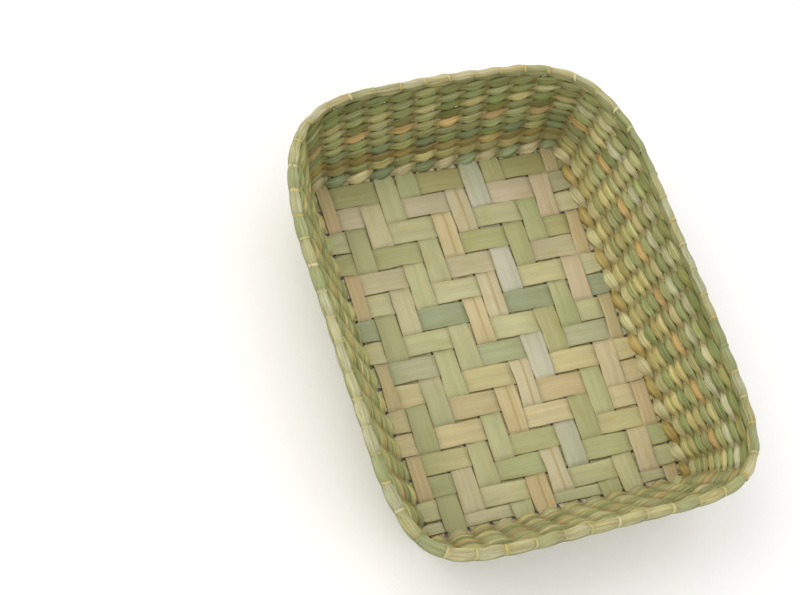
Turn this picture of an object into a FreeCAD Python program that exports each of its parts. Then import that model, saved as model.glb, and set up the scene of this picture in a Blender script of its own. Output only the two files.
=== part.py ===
"""Rectangular bread basket, hand woven from rush leaf.

Flat leaf strips cross in a two-over, two-under twill to make the floor. Past the floor's edge every strip turns
up, narrows and becomes a stake of the wall, so the wall has one stake at each end of each strip. A pair of thick
strands is twined round the bend and makes the foot that the basket stands on. Nine courses of thinner strand
pairs are twined up the wall, and a bundle of leaf lies along the top of the stakes, lashed down at each stake.

Frame: origin on the table under the middle of the rim, +X along the basket's length, +Y across it, +Z up.
Everything is built about the middle of the floor, and each piece's Placement then shifts it to that frame.
"""

import FreeCAD
import Part
import Sketcher
import bisect
import math
import os

from FreeCAD import Placement, Rotation, Vector

UP = Vector(0, 0, 1)
X_AXIS = Vector(1, 0, 0)
Y_AXIS = Vector(0, 1, 0)

# Alias, value in millimetres (or a plain count), what it is.
DIMENSIONS = [
    ("long_strips", 12, "strips that run along the length"),
    ("cross_strips", 16, "strips that run across"),
    ("long_pitch", 15.0, "floor taken up by a long strip"),
    ("edge_pitch", 10.0, "floor taken up by the outermost long strip on either side, which is folded narrower"),
    ("cross_pitch", 15.6, "floor taken up by a cross strip"),
    ("close_strips", 3, "cross strips next to the last one, at the +X end, which lie closer"),
    ("close_pitch", 14.3, "floor taken up by each of those"),
    ("last_pitch", 8.0, "floor taken up by the last cross strip at the +X end, which is folded narrower"),
    ("strip_width", 12.8, "width of a floor strip"),
    ("edge_strip_width", 7.8, "width of the outermost long strips"),
    ("last_strip_width", 5.8, "width of the last cross strip"),
    ("leaf_thickness", 0.7, "thickness of a floor strip"),
    ("weave_gap", 0.1, "air between two crossed strips"),
    ("floor_level", 3.8, "height of the floor's middle plane"),
    ("foot_reach", 5.0, "floor's edge to the foot course, outwards"),
    ("foot_fan", 2.6, "shift of the outermost strips towards the corner, where the foot course grips them"),
    ("foot_strip_width", 7.6, "width of a strip where the foot course grips it"),
    ("edge_foot_width", 5.0, "the same for the strips that are folded narrower"),
    ("wall_reach", 7.6, "floor's edge to the start of the wall, outwards"),
    ("wall_rise", 5.4, "floor's middle plane to the start of the wall, upwards"),
    ("stake_width", 3.6, "width of a strip once it is folded into a stake"),
    ("stake_thickness", 0.9, "thickness of a stake"),
    ("basket_height", 75.0, "table to the top of the rim"),
    ("rim_half_length", 154.6, "middle to the outside of the rim, along X"),
    ("rim_half_width", 120.6, "middle to the outside of the rim, along Y"),
    ("sharp_exponent", 6.6, "superellipse exponent of the rim's outline at the +X end"),
    ("round_exponent", 4.3, "the same at the -X end, whose corners are rounder"),
    ("floor_shift_x", 2.5, "rim's middle to the floor's middle, along X, as the weaver's hands left it"),
    ("floor_shift_y", 6.5, "rim's middle to the floor's middle, along Y"),
    ("courses", 9, "twined courses above the foot"),
    ("first_course_level", 12.3, "height of the lowest course"),
    ("last_course_level", 64.1, "height of the highest course"),
    ("strand_offset", 2.2, "wall's middle surface to a strand where it passes a stake"),
    ("strand_thickness", 2.4, "strand's thickness where it passes a stake"),
    ("strand_depth", 6.5, "strand's depth, up the wall, where it passes a stake"),
    ("strand_lift", 1.75, "wall course line to a strand where the pair cross"),
    ("crossing_thickness", 2.6, "strand's thickness where the pair cross"),
    ("crossing_depth", 3.2, "strand's depth where the pair cross"),
    ("foot_offset", 3.6, "bend of the strips to a foot strand where it passes a strip"),
    ("foot_strand", 6.0, "corner to corner of a foot strand's square section where it passes a strip"),
    ("foot_lift", 2.6, "foot course line to a strand where the pair cross"),
    ("foot_crossing_thickness", 4.4, "foot strand's thickness where the pair cross"),
    ("foot_crossing_depth", 4.8, "foot strand's depth where the pair cross"),
    ("bundle_diameter", 6.4, "diameter of the rim bundle"),
    ("lashing_width", 2.6, "width of a lashing loop, along the rim"),
    ("lashing_thickness", 0.6, "thickness of a lashing loop"),
    ("lashing_clearance", 0.05, "air between a lashing loop and the bundle"),
]

STRAND_NAMES = "ab"
TWILL_REPEAT = 4
SEWING_TOLERANCE = 0.001


def make_sheet(doc):
    """The spreadsheet of driving dimensions, one row each: value with its alias, then its meaning."""
    sheet = doc.addObject("Spreadsheet::Sheet", "dims")
    for row, (alias, value, meaning) in enumerate(DIMENSIONS, start=1):
        sheet.set(f"A{row}", str(value))
        sheet.setAlias(f"A{row}", alias)
        sheet.set(f"B{row}", meaning)
    doc.recompute()
    return sheet


class Dims:
    """The sheet's cells by alias, so that dims.long_pitch is the cell's value, and what follows from them."""

    def __init__(self, sheet):
        for alias, value, _ in DIMENSIONS:
            setattr(self, alias, type(value)(sheet.get(alias)))

    @property
    def weave_lift(self):
        """How far a strip's middle lies above or below the floor's middle plane."""
        return (self.leaf_thickness + self.weave_gap) / 2

    @property
    def rim_inset(self):
        """Outside of a lashing loop to the middle of the rim bundle."""
        return self.bundle_diameter / 2 + self.lashing_clearance + self.lashing_thickness

    @property
    def rim_level(self):
        """Height of the rim bundle's middle."""
        return self.basket_height - self.rim_inset

    @property
    def foot_level(self):
        """Height of the bend of the strips, which puts the flat undersides of the foot strands on the table."""
        return (self.foot_offset + self.foot_strand / 2) / math.sqrt(2)

    @property
    def to_frame(self):
        """Shift from the middle of the floor, about which the pieces are built, to the middle of the rim."""
        return Vector(self.floor_shift_x, self.floor_shift_y, 0)

    @property
    def stake_count(self):
        return 2 * (self.long_strips + self.cross_strips)


# --- where everything lies -------------------------------------------------------------------------------------


def floor_lines(dims, family):
    """Lines between neighbouring strips of a family, and the floor's two edges beyond them."""
    if family == "long":
        spaces = [dims.edge_pitch] + [dims.long_pitch] * (dims.long_strips - 2) + [dims.edge_pitch]
        start = -sum(spaces) / 2
    else:
        even = dims.cross_strips - dims.close_strips - 1
        spaces = [dims.cross_pitch] * even + [dims.close_pitch] * dims.close_strips + [dims.last_pitch]
        start = -dims.cross_strips * dims.cross_pitch / 2
    return [start + sum(spaces[:n]) for n in range(len(spaces) + 1)]


def strip_middles(dims, family):
    lines = floor_lines(dims, family)
    return [(before + after) / 2 for before, after in zip(lines, lines[1:])]


def width_cells(dims, family, index):
    """The sheet's cells for a strip's width on the floor and where the foot course grips it."""
    if family == "long" and index in (0, dims.long_strips - 1):
        return "edge_strip_width", "edge_foot_width"
    if family == "cross" and index == dims.cross_strips - 1:
        return "last_strip_width", "edge_foot_width"
    return "strip_width", "foot_strip_width"


def long_strip_on_top(dims, long_index, cross_index):
    """Twill rule: each long strip goes over two cross strips and under two, one step on from its neighbour.
    The outermost strip on each side lies opposite to its neighbour, which locks the edge."""
    last = dims.long_strips - 1
    inner = min(max(long_index, 1), last - 1)
    phase = TWILL_REPEAT - 1 - inner
    if inner != long_index:
        phase += TWILL_REPEAT // 2
    return (cross_index - phase) % TWILL_REPEAT < TWILL_REPEAT // 2


def rim_outline(dims, angle, exponent):
    """Point of the rim bundle's middle line, a superellipse, in the direction angle."""
    toward = Vector(math.cos(angle), math.sin(angle), 0)
    half_length = dims.rim_half_length - dims.rim_inset
    half_width = dims.rim_half_width - dims.rim_inset
    share = (toward.x / half_length) ** exponent + (toward.y / half_width) ** exponent
    return toward * share ** (-1 / exponent) + UP * dims.rim_level


def quarter_points(dims, exponent):
    """The tops of a quarter of the stakes, evenly spaced from the X axis to the Y axis."""
    fine_steps = 2000
    quarter = [rim_outline(dims, math.pi / 2 * i / fine_steps, exponent) for i in range(fine_steps + 1)]
    travelled = [0.0]
    for before, after in zip(quarter, quarter[1:]):
        travelled.append(travelled[-1] + (after - before).Length)
    per_quarter = dims.stake_count // 4
    wanted = [travelled[-1] * (k + 0.5) / per_quarter for k in range(per_quarter)]
    return [quarter[bisect.bisect(travelled, distance)] for distance in wanted]


def rim_points(dims):
    """The top of every stake round the rim, anticlockwise from the first stake of the +X end."""
    first = quarter_points(dims, dims.sharp_exponent)
    second = [Vector(-p.x, p.y, p.z) for p in reversed(quarter_points(dims, dims.round_exponent))]
    third_and_fourth = [Vector(p.x, -p.y, p.z) for p in reversed(first + second)]
    ring = [p - dims.to_frame for p in first + second + third_and_fourth]
    half_end = dims.long_strips // 2
    return ring[-half_end:] + ring[:-half_end]


class Stake:
    """One end of one strip: where it leaves the floor, passes the foot course and climbs the wall."""

    def __init__(self, dims, floor_end, outward, share, top):
        """share is how far along its edge the strip lies, from -1 at one corner to 1 at the next."""
        self.outward = outward
        spread = floor_end + UP.cross(outward) * (dims.foot_fan * share ** 3)
        self.foot = spread + outward * dims.foot_reach + UP * dims.foot_level
        self.start = spread + outward * dims.wall_reach + UP * (dims.floor_level + dims.wall_rise)
        self.top = top

    def at_level(self, level):
        share = (level - self.start.z) / (self.top.z - self.start.z)
        return self.start + (self.top - self.start) * share

    def direction(self):
        return (self.top - self.start).normalize()


def make_stakes(dims):
    """All stakes in order round the basket: the +X end, the +Y side, the -X end, the -Y side."""
    tops = rim_points(dims)
    ys, xs = strip_middles(dims, "long"), strip_middles(dims, "cross")
    low_y, *_, high_y = floor_lines(dims, "long")
    low_x, *_, high_x = floor_lines(dims, "cross")
    y_shares = [2 * i / (len(ys) - 1) - 1 for i in range(len(ys))]
    x_shares = [2 * j / (len(xs) - 1) - 1 for j in range(len(xs))]
    ends = [(Vector(high_x, y, 0), X_AXIS, share) for y, share in zip(ys, y_shares)]
    ends += [(Vector(x, high_y, 0), Y_AXIS, -share) for x, share in zip(reversed(xs), reversed(x_shares))]
    ends += [(Vector(low_x, y, 0), -X_AXIS, -share) for y, share in zip(reversed(ys), reversed(y_shares))]
    ends += [(Vector(x, low_y, 0), -Y_AXIS, share) for x, share in zip(xs, x_shares)]
    return [Stake(dims, *end, top) for end, top in zip(ends, tops)]


def stake_index(dims, family, index, end):
    """Number, round the basket, of the stake at the +1 or -1 end of a strip."""
    long_count, cross_count = dims.long_strips, dims.cross_strips
    if family == "long":
        return index if end > 0 else 2 * long_count + cross_count - 1 - index
    return long_count + cross_count - 1 - index if end > 0 else 2 * long_count + cross_count + index


def round_tangent(points, k):
    """Direction along a closed ring of points at point k."""
    return (points[(k + 1) % len(points)] - points[k - 1]).normalize()


def foot_rise(foot_line, k):
    """Direction of strip k where the foot course grips it, halfway from level to upright."""
    return (round_tangent(foot_line, k).cross(UP) + UP).normalize()


# --- floor strips and their stakes -----------------------------------------------------------------------------


def origin_plane(body, role):
    return next(f for f in body.Origin.OriginFeatures if f.Role == role)


def add_closed_polygon(sketch, corners):
    """Adds line segments through corners, joined end to end."""
    count = len(corners)
    first = sketch.GeometryCount
    for i in range(count):
        sketch.addGeometry(Part.LineSegment(corners[i], corners[(i + 1) % count]))
    for i in range(count):
        sketch.addConstraint(Sketcher.Constraint("Coincident", first + i, 2, first + (i + 1) % count, 1))


def add_section(body, name, centre, along, across, width_cell, thickness_cell, dims):
    """A rectangle square to along, with its width along across, sized by two cells of the sheet."""
    sketch = body.newObject("Sketcher::SketchObject", name)
    sketch.AttachmentSupport = (origin_plane(body, "XY_Plane"), [""])
    sketch.MapMode = "FlatFace"
    along = Vector(along).normalize()
    across = (across - along * across.dot(along)).normalize()
    sketch.AttachmentOffset = Placement(centre, Rotation(across, along.cross(across), along, "XYZ"))
    width, thickness = getattr(dims, width_cell), getattr(dims, thickness_cell)
    w, t = width / 2, thickness / 2
    add_closed_polygon(sketch, [Vector(-w, -t, 0), Vector(w, -t, 0), Vector(w, t, 0), Vector(-w, t, 0)])
    for side, kind in enumerate(("Horizontal", "Vertical", "Horizontal", "Vertical")):
        sketch.addConstraint(Sketcher.Constraint(kind, side))
    sketch.addConstraint(Sketcher.Constraint("Symmetric", 0, 1, 2, 1, -1, 1))
    wide = sketch.addConstraint(Sketcher.Constraint("DistanceX", 0, 1, 0, 2, width))
    thick = sketch.addConstraint(Sketcher.Constraint("DistanceY", 1, 1, 1, 2, thickness))
    sketch.setExpression(f"Constraints[{wide}]", f"dims.{width_cell}")
    sketch.setExpression(f"Constraints[{thick}]", f"dims.{thickness_cell}")
    return sketch


def woven_centreline(dims, crossed, levels):
    """Side view of a strip's middle line: (distance, height) corners, with a step in each gap between two strips
    of the crossed family where it changes from over to under."""
    lines = floor_lines(dims, crossed)
    middles = strip_middles(dims, crossed)
    halves = [getattr(dims, width_cells(dims, crossed, n)[0]) / 2 for n in range(len(middles))]
    heights = [dims.floor_level + dims.weave_lift * level for level in levels]
    line = [(lines[0], heights[0])]
    for n in range(1, len(levels)):
        if levels[n] != levels[n - 1]:
            line.append((middles[n - 1] + halves[n - 1], heights[n - 1]))
            line.append((middles[n] - halves[n], heights[n]))
    line.append((lines[-1], heights[-1]))
    return line


def make_strip(doc, dims, stakes, family, index):
    """One floor strip with the stake at each of its ends, as one body."""
    label = f"{family}_strip_{index + 1:02d}"
    body = doc.addObject("PartDesign::Body", label)
    if family == "long":
        crossed, plane, along = "cross", "XZ_Plane", X_AXIS
        aside = Vector(0, strip_middles(dims, family)[index], 0)
        levels = [1 if long_strip_on_top(dims, index, n) else -1 for n in range(dims.cross_strips)]
    else:
        crossed, plane, along = "long", "YZ_Plane", Y_AXIS
        aside = Vector(strip_middles(dims, family)[index], 0, 0)
        levels = [-1 if long_strip_on_top(dims, n, index) else 1 for n in range(dims.long_strips)]
    line = woven_centreline(dims, crossed, levels)
    floor_width, foot_width = width_cells(dims, family, index)

    weave = body.newObject("Sketcher::SketchObject", "weave")
    weave.AttachmentSupport = (origin_plane(body, plane), [""])
    weave.MapMode = "FlatFace"
    # The XZ plane's normal is -Y and the YZ plane's is +X, so the shift aside is along or against it.
    weave.AttachmentOffset = Placement(Vector(0, 0, aside.x - aside.y), Rotation())
    half = dims.leaf_thickness / 2
    upper = [Vector(d, h + half, 0) for d, h in line]
    lower = [Vector(d, h - half, 0) for d, h in reversed(line)]
    add_closed_polygon(weave, upper + lower)
    floor = body.newObject("PartDesign::Pad", "floor")
    floor.Profile = weave
    floor.Midplane = True
    floor.setExpression("Length", f"dims.{floor_width}")

    foot_line = [s.foot for s in stakes]
    start_line = [s.start for s in stakes]
    top_line = [s.top for s in stakes]
    for end, (reach, height) in ((1, line[-1]), (-1, line[0])):
        k = stake_index(dims, family, index, end)
        stake = stakes[k]
        edge = aside + along * reach + UP * height
        across_floor = UP.cross(stake.outward)
        direction = stake.direction()
        stake_end = stake.at_level(dims.rim_level - dims.rim_inset - dims.lashing_clearance)
        name = "plus" if end > 0 else "minus"
        parts = [
            ("edge", edge, stake.outward, across_floor, floor_width, "leaf_thickness"),
            ("foot", stake.foot, foot_rise(foot_line, k), round_tangent(foot_line, k), foot_width,
             "leaf_thickness"),
            ("turn", stake.start, direction, round_tangent(start_line, k), "stake_width", "stake_thickness"),
            ("tip", stake_end, direction, round_tangent(top_line, k), "stake_width", "stake_thickness"),
        ]
        sections = [add_section(body, f"{what}_{name}", *rest, dims) for what, *rest in parts]
        stake_loft = body.newObject("PartDesign::AdditiveLoft", f"stake_{name}")
        stake_loft.Profile = sections[0]
        stake_loft.Sections = sections[1:]
        stake_loft.Ruled = True
    doc.recompute()
    body.Label = label
    return body


# --- twined strands --------------------------------------------------------------------------------------------


def diamond(centre, normal, rise, thickness, depth):
    """Corners of a four-sided leaf section: thin along normal, deep along rise."""
    n, r = normal * (thickness / 2), rise * (depth / 2)
    return [centre + n, centre + r, centre - n, centre - r]


def course_sections(line, rises, strand, half_plateau, beside, between):
    """Sections of one strand of a twined pair, as a closed ring.

    line holds the course's points at the stakes, rises the stakes' directions. The strand passes outside one
    stake and inside the next, and the pair cross between stakes, always with the same twist. beside and between
    are (offset, thickness, depth) where the strand passes a stake and where the pair cross."""
    count = len(line)
    sections = []
    for k in range(count):
        side = 1 if (k + strand) % 2 == 0 else -1
        tangent = round_tangent(line, k)
        rise = rises[k]
        normal = tangent.cross(rise).normalize()
        offset, thickness, depth = beside
        shifts = (-half_plateau, half_plateau) if half_plateau else (0,)
        for shift in shifts:
            centre = line[k] + tangent * shift + normal * (side * offset)
            sections.append(diamond(centre, normal, rise, thickness, depth))
        nxt = (k + 1) % count
        middle_rise = (rises[k] + rises[nxt]).normalize()
        middle_normal = (line[nxt] - line[k]).cross(middle_rise).normalize()
        lift, thickness, depth = between
        centre = (line[k] + line[nxt]) / 2 + middle_rise * (side * lift)
        sections.append(diamond(centre, middle_normal, middle_rise, thickness, depth))
    return sections


def make_strand(doc, label, sections):
    """One strand as a closed ring of flat three-cornered facets between its sections."""
    corners = len(sections[0])
    points = [point for section in sections for point in section]
    facets = []
    for first in range(0, len(points), corners):
        second = (first + corners) % len(points)
        for n in range(corners):
            m = (n + 1) % corners
            facets += [(first + n, first + m, second + m), (first + n, second + m, second + n)]
    skin = Part.Shape()
    skin.makeShapeFromMesh((points, facets), SEWING_TOLERANCE)
    solid = Part.Solid(Part.Shell(skin.Faces))
    if solid.Volume < 0:
        solid.reverse()
    strand = doc.addObject("Part::Feature", label)
    strand.Shape = solid
    strand.Label = label
    return strand


def make_courses(doc, dims, stakes):
    """The twined courses of the wall, two strands each."""
    rises = [s.direction() for s in stakes]
    beside = (dims.strand_offset, dims.strand_thickness, dims.strand_depth)
    between = (dims.strand_lift, dims.crossing_thickness, dims.crossing_depth)
    step = (dims.last_course_level - dims.first_course_level) / (dims.courses - 1)
    made = []
    for course in range(dims.courses):
        level = dims.first_course_level + course * step
        line = [s.at_level(level) for s in stakes]
        for strand, letter in enumerate(STRAND_NAMES):
            sections = course_sections(line, rises, strand, 0, beside, between)
            made.append(make_strand(doc, f"course_{course + 1:02d}_strand_{letter}", sections))
    return made


def make_foot(doc, dims, stakes):
    """The thick pair twined round the bend of the strips, which the basket stands on."""
    line = [s.foot for s in stakes]
    rises = [foot_rise(line, k) for k in range(len(line))]
    beside = (dims.foot_offset, dims.foot_strand, dims.foot_strand)
    between = (dims.foot_lift, dims.foot_crossing_thickness, dims.foot_crossing_depth)
    made = []
    for strand, letter in enumerate(STRAND_NAMES):
        sections = course_sections(line, rises, strand, dims.foot_strip_width / 2, beside, between)
        made.append(make_strand(doc, f"foot_strand_{letter}", sections))
    return made


# --- rim -------------------------------------------------------------------------------------------------------


def make_rim_bundle(doc, dims, stakes):
    """The bundle of leaf along the top of the stakes: a round section swept along the rim's closed outline."""
    body = doc.addObject("PartDesign::Body", "rim_bundle")
    outline = body.newObject("Sketcher::SketchObject", "rim_outline")
    outline.AttachmentSupport = (origin_plane(body, "XY_Plane"), [""])
    outline.MapMode = "FlatFace"
    outline.setExpression(
        "AttachmentOffset.Base.z",
        "dims.basket_height - dims.bundle_diameter / 2 - dims.lashing_clearance - dims.lashing_thickness",
    )
    curve = Part.BSplineCurve()
    curve.interpolate(Points=[Vector(s.top.x, s.top.y, 0) for s in stakes], PeriodicFlag=True)
    outline.addGeometry(curve)

    start = stakes[0].top
    tangent = curve.tangent(curve.FirstParameter)[0]
    section = body.newObject("Sketcher::SketchObject", "bundle_section")
    section.AttachmentSupport = (origin_plane(body, "XY_Plane"), [""])
    section.MapMode = "FlatFace"
    section.AttachmentOffset = Placement(start, Rotation(tangent.cross(UP), UP, tangent, "ZXY"))
    section.addGeometry(Part.Circle(Vector(), UP, dims.bundle_diameter / 2))
    section.addConstraint(Sketcher.Constraint("Coincident", 0, 3, -1, 1))
    size = section.addConstraint(Sketcher.Constraint("Diameter", 0, dims.bundle_diameter))
    section.setExpression(f"Constraints[{size}]", "dims.bundle_diameter")
    doc.recompute()

    pipe = body.newObject("PartDesign::AdditivePipe", "bundle")
    pipe.Profile = section
    pipe.Spine = (outline, ["Edge1"])
    doc.recompute()
    body.Label = "rim_bundle"
    return body


def make_rim_lashing(doc, dims, stakes):
    """The binding of the rim: one flat loop round the bundle at every stake."""
    outer = doc.addObject("Part::Cylinder", "loop_outside")
    inner = doc.addObject("Part::Cylinder", "loop_inside")
    clear_radius = "dims.bundle_diameter / 2 + dims.lashing_clearance"
    outer.setExpression("Radius", f"{clear_radius} + dims.lashing_thickness")
    inner.setExpression("Radius", clear_radius)
    for cylinder in (outer, inner):
        cylinder.setExpression("Height", "dims.lashing_width")
        cylinder.setExpression("Placement.Base.z", "-dims.lashing_width / 2")
    loop = doc.addObject("Part::Cut", "lashing_loop")
    loop.Base = outer
    loop.Tool = inner
    doc.recompute()

    tops = [s.top for s in stakes]
    copies = []
    for k, top in enumerate(tops):
        tangent = round_tangent(tops, k)
        copy = loop.Shape.copy()
        copy.Placement = Placement(top, Rotation(tangent.cross(UP), UP, tangent, "ZXY"))
        copies.append(copy)
    lashing = doc.addObject("Part::Feature", "rim_lashing")
    lashing.Shape = Part.makeCompound(copies)
    lashing.Label = "rim_lashing"
    return lashing


# --- the whole basket ------------------------------------------------------------------------------------------


def check(doc, pieces):
    """Stops if an object failed to build or a piece's shape is unsound."""
    failed = [o.Name for o in doc.Objects if {"Invalid", "Error"} & set(o.State)]
    if failed:
        raise RuntimeError(f"these objects failed to build: {failed}")
    for piece in pieces:
        shape = piece.Shape
        if shape.isNull() or not shape.isValid() or shape.Volume <= 0:
            raise RuntimeError(f"{piece.Label} has no sound solid")


def main():
    doc = FreeCAD.newDocument("bread_basket")
    dims = Dims(make_sheet(doc))
    stakes = make_stakes(dims)
    pieces = [make_strip(doc, dims, stakes, "long", i) for i in range(dims.long_strips)]
    pieces += [make_strip(doc, dims, stakes, "cross", j) for j in range(dims.cross_strips)]
    pieces += make_foot(doc, dims, stakes)
    pieces += make_courses(doc, dims, stakes)
    pieces.append(make_rim_bundle(doc, dims, stakes))
    pieces.append(make_rim_lashing(doc, dims, stakes))
    for piece in pieces:
        piece.Placement = Placement(dims.to_frame, Rotation())
    doc.recompute()
    check(doc, pieces)
    os.makedirs("parts", exist_ok=True)
    for piece in pieces:
        piece.Shape.exportStep(os.path.join("parts", f"{piece.Label}.step"))
    print(f"{len(pieces)} pieces, {sum(p.Shape.Volume for p in pieces) / 1000:.1f} cm3")


main()
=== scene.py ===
"""Looks of the woven bread basket.

Every floor strip, twined strand, leaf of the rim and lashing is built as its own dried leaf, in the place of
the CAD node that it replaces. Lengths are in millimetres until a mesh is made.
"""

import math

import bpy
import numpy as np
from mathutils import Matrix, Vector


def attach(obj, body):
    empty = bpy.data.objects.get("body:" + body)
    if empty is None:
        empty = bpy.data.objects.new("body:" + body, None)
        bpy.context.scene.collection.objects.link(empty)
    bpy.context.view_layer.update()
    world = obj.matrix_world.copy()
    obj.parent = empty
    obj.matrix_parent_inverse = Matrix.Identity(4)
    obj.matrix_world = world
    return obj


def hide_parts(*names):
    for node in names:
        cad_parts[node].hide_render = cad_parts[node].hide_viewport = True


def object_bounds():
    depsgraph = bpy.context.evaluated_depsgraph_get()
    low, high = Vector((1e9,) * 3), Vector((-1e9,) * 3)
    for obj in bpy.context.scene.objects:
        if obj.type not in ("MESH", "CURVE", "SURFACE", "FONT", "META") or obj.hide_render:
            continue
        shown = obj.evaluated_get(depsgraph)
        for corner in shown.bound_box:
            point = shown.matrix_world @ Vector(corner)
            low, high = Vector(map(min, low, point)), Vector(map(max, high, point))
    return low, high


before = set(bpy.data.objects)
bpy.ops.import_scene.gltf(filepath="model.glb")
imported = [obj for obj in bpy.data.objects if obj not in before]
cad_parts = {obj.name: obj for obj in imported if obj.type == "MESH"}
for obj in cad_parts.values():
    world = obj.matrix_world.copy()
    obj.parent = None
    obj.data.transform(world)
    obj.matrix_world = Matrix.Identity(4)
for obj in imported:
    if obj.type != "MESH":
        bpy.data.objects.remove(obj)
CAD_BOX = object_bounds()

MM = 0.001
X_AXIS, Y_AXIS, UP = np.eye(3)

# Seeds of the random draws. A strip adds its number, and a strand its course and which of the pair it is.
SEEDS = {"rim_line": 5, "long": 11, "cross": 111, "course": 1000, "foot": 1900, "rim": 77, "lashing": 78}

# --- the CAD model's layout ---------------------------------------------------------------------------

LONG_STRIPS, CROSS_STRIPS = 12, 16
STAKES = 2 * (LONG_STRIPS + CROSS_STRIPS)
LONG_SPACES = [10.0] + [15.0] * 10 + [10.0]
CROSS_SPACES = [15.6] * 12 + [14.3] * 3 + [8.0]
CROSS_START = -124.8                        # edge of the first cross strip
LONG_LINES = np.cumsum([0] + LONG_SPACES) - sum(LONG_SPACES) / 2
CROSS_LINES = np.cumsum([0] + CROSS_SPACES) + CROSS_START
FLOOR_LEVEL = 3.8                           # middle of the floor's two layers
FLOOR_SHIFT = np.array([2.5, 6.5, 0.0])     # of the floor from the middle of the rim
FOOT_REACH, FOOT_LEVEL = 5.0, 4.667         # of the foot course, out from the floor's edge and up
FOOT_FAN = 2.6                              # of a side's last stakes towards the corners
WALL_REACH, WALL_RISE = 7.6, 5.4            # of the start of a wall, from the floor's edge and level
COURSES, FIRST_COURSE, LAST_COURSE = 9, 12.3, 64.1

SHARP_EXPONENT, ROUND_EXPONENT = 6.6, 4.3   # of the rim's superellipse at its +X end and at the other
RIM_INSET = 3.85                            # of the middle of the rim bundle from the CAD box
RIM_HALF_LENGTH = CAD_BOX[1][0] / MM - RIM_INSET
RIM_HALF_WIDTH = CAD_BOX[1][1] / MM - RIM_INSET
RIM_LEVEL = CAD_BOX[1][2] / MM - RIM_INSET
RIM_SWAY = np.array([0.5, 0.5, 0.35])       # of the rim off its regular curve, at most
RING_SAMPLES = 4001


def unit(v):
    return v / np.linalg.norm(v, axis=-1, keepdims=True)


def travelled(points):
    """Length along a line of points, from its first."""
    return np.concatenate([[0], np.cumsum(np.linalg.norm(np.diff(points, axis=0), axis=1))])


def quarter_ring(exponent):
    """Tops of a quarter of the stakes, evenly spaced along the superellipse from the X axis to the Y axis."""
    angle = np.linspace(0, math.pi / 2, RING_SAMPLES)
    c, s = np.cos(angle), np.sin(angle)
    radius = ((c / RIM_HALF_LENGTH) ** exponent + (s / RIM_HALF_WIDTH) ** exponent) ** (-1 / exponent)
    quarter = np.stack([c * radius, s * radius], 1)
    length = travelled(quarter)
    per_quarter = STAKES // 4
    wanted = length[-1] * (np.arange(per_quarter) + 0.5) / per_quarter
    return np.stack([np.interp(wanted, length, quarter[:, i]) for i in (0, 1)], 1)


def rim_ring():
    """Tops of the stakes round the rim, which has sharper corners at the +X end and sways a little."""
    half = np.concatenate([quarter_ring(SHARP_EXPONENT), quarter_ring(ROUND_EXPONENT)[::-1] * [-1, 1]])
    ring = np.roll(np.concatenate([half, half[::-1] * [1, -1]]), LONG_STRIPS // 2, axis=0)
    rng = np.random.default_rng(SEEDS["rim_line"])
    sway = RIM_SWAY * rng.uniform(-1, 1, (STAKES, 3))
    sway = (np.roll(sway, 1, axis=0) + 2 * sway + np.roll(sway, -1, axis=0)) / 3
    return np.concatenate([ring, np.full((STAKES, 1), RIM_LEVEL)], 1) + sway


def floor_rings():
    """Where each stake passes the foot course and starts up the wall, from the +X side round by +Y."""
    ys = list(zip((LONG_LINES[1:] + LONG_LINES[:-1]) / 2, np.linspace(-1, 1, LONG_STRIPS)))
    xs = list(zip((CROSS_LINES[1:] + CROSS_LINES[:-1]) / 2, np.linspace(-1, 1, CROSS_STRIPS)))
    ends = [((CROSS_LINES[-1], y), (1, 0), share) for y, share in ys]
    ends += [((x, LONG_LINES[-1]), (0, 1), -share) for x, share in xs[::-1]]
    ends += [((CROSS_LINES[0], y), (-1, 0), -share) for y, share in ys[::-1]]
    ends += [((x, LONG_LINES[0]), (0, -1), share) for x, share in xs]
    foot, start = [], []
    for (x, y), (ox, oy), share in ends:
        base = np.array([x, y, 0.0]) + np.array([-oy, ox, 0]) * FOOT_FAN * share ** 3 + FLOOR_SHIFT
        out = np.array([ox, oy, 0.0])
        foot.append(base + out * FOOT_REACH + UP * FOOT_LEVEL)
        start.append(base + out * WALL_REACH + UP * (FLOOR_LEVEL + WALL_RISE))
    return np.array(foot), np.array(start)


TOPS = rim_ring()
FEET, STARTS = floor_rings()


# --- curves and noise ---------------------------------------------------------------------------------


def smooth(points, u):
    """A closed Catmull-Rom curve through points, at u in steps of one point."""
    n = len(points)
    i = np.floor(u).astype(int)
    t = (u - i).reshape((-1,) + (1,) * (points.ndim - 1))
    p0, p1, p2, p3 = (points[(i + d) % n] for d in (-1, 0, 1, 2))
    return 0.5 * (2 * p1 + (p2 - p0) * t + (2 * p0 - 5 * p1 + 4 * p2 - p3) * t ** 2
                  + (3 * p1 - p0 - 3 * p2 + p3) * t ** 3)


def heading(curve, u, step=0.1):
    """Direction along a curve, which gives a point for each u."""
    return unit(curve(u + step) - curve(u - step))


def circle(count):
    """Angles of points evenly round a circle."""
    return np.arange(count) * 2 * math.pi / count


def signed_power(value, power):
    return np.sign(value) * np.abs(value) ** power


def wander(rng, s, step):
    """Smooth noise of about unit size along s, which changes over about step."""
    knots = rng.standard_normal(int((s.max() - s.min()) / step) + 5)
    return smooth(knots, (s - s.min()) / step + 1)


def stake_noise(rng, size, u):
    """Smooth noise round the basket, drawn anew at every stake and at most size there."""
    return smooth(rng.uniform(-size, size, STAKES), u)


def any_phase(rng):
    """Somewhere in a cosine's turn."""
    return rng.uniform(0, 6)


def any_place(rng):
    """Somewhere in the noise of the leaf's material."""
    return rng.uniform(0, 900)


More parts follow.
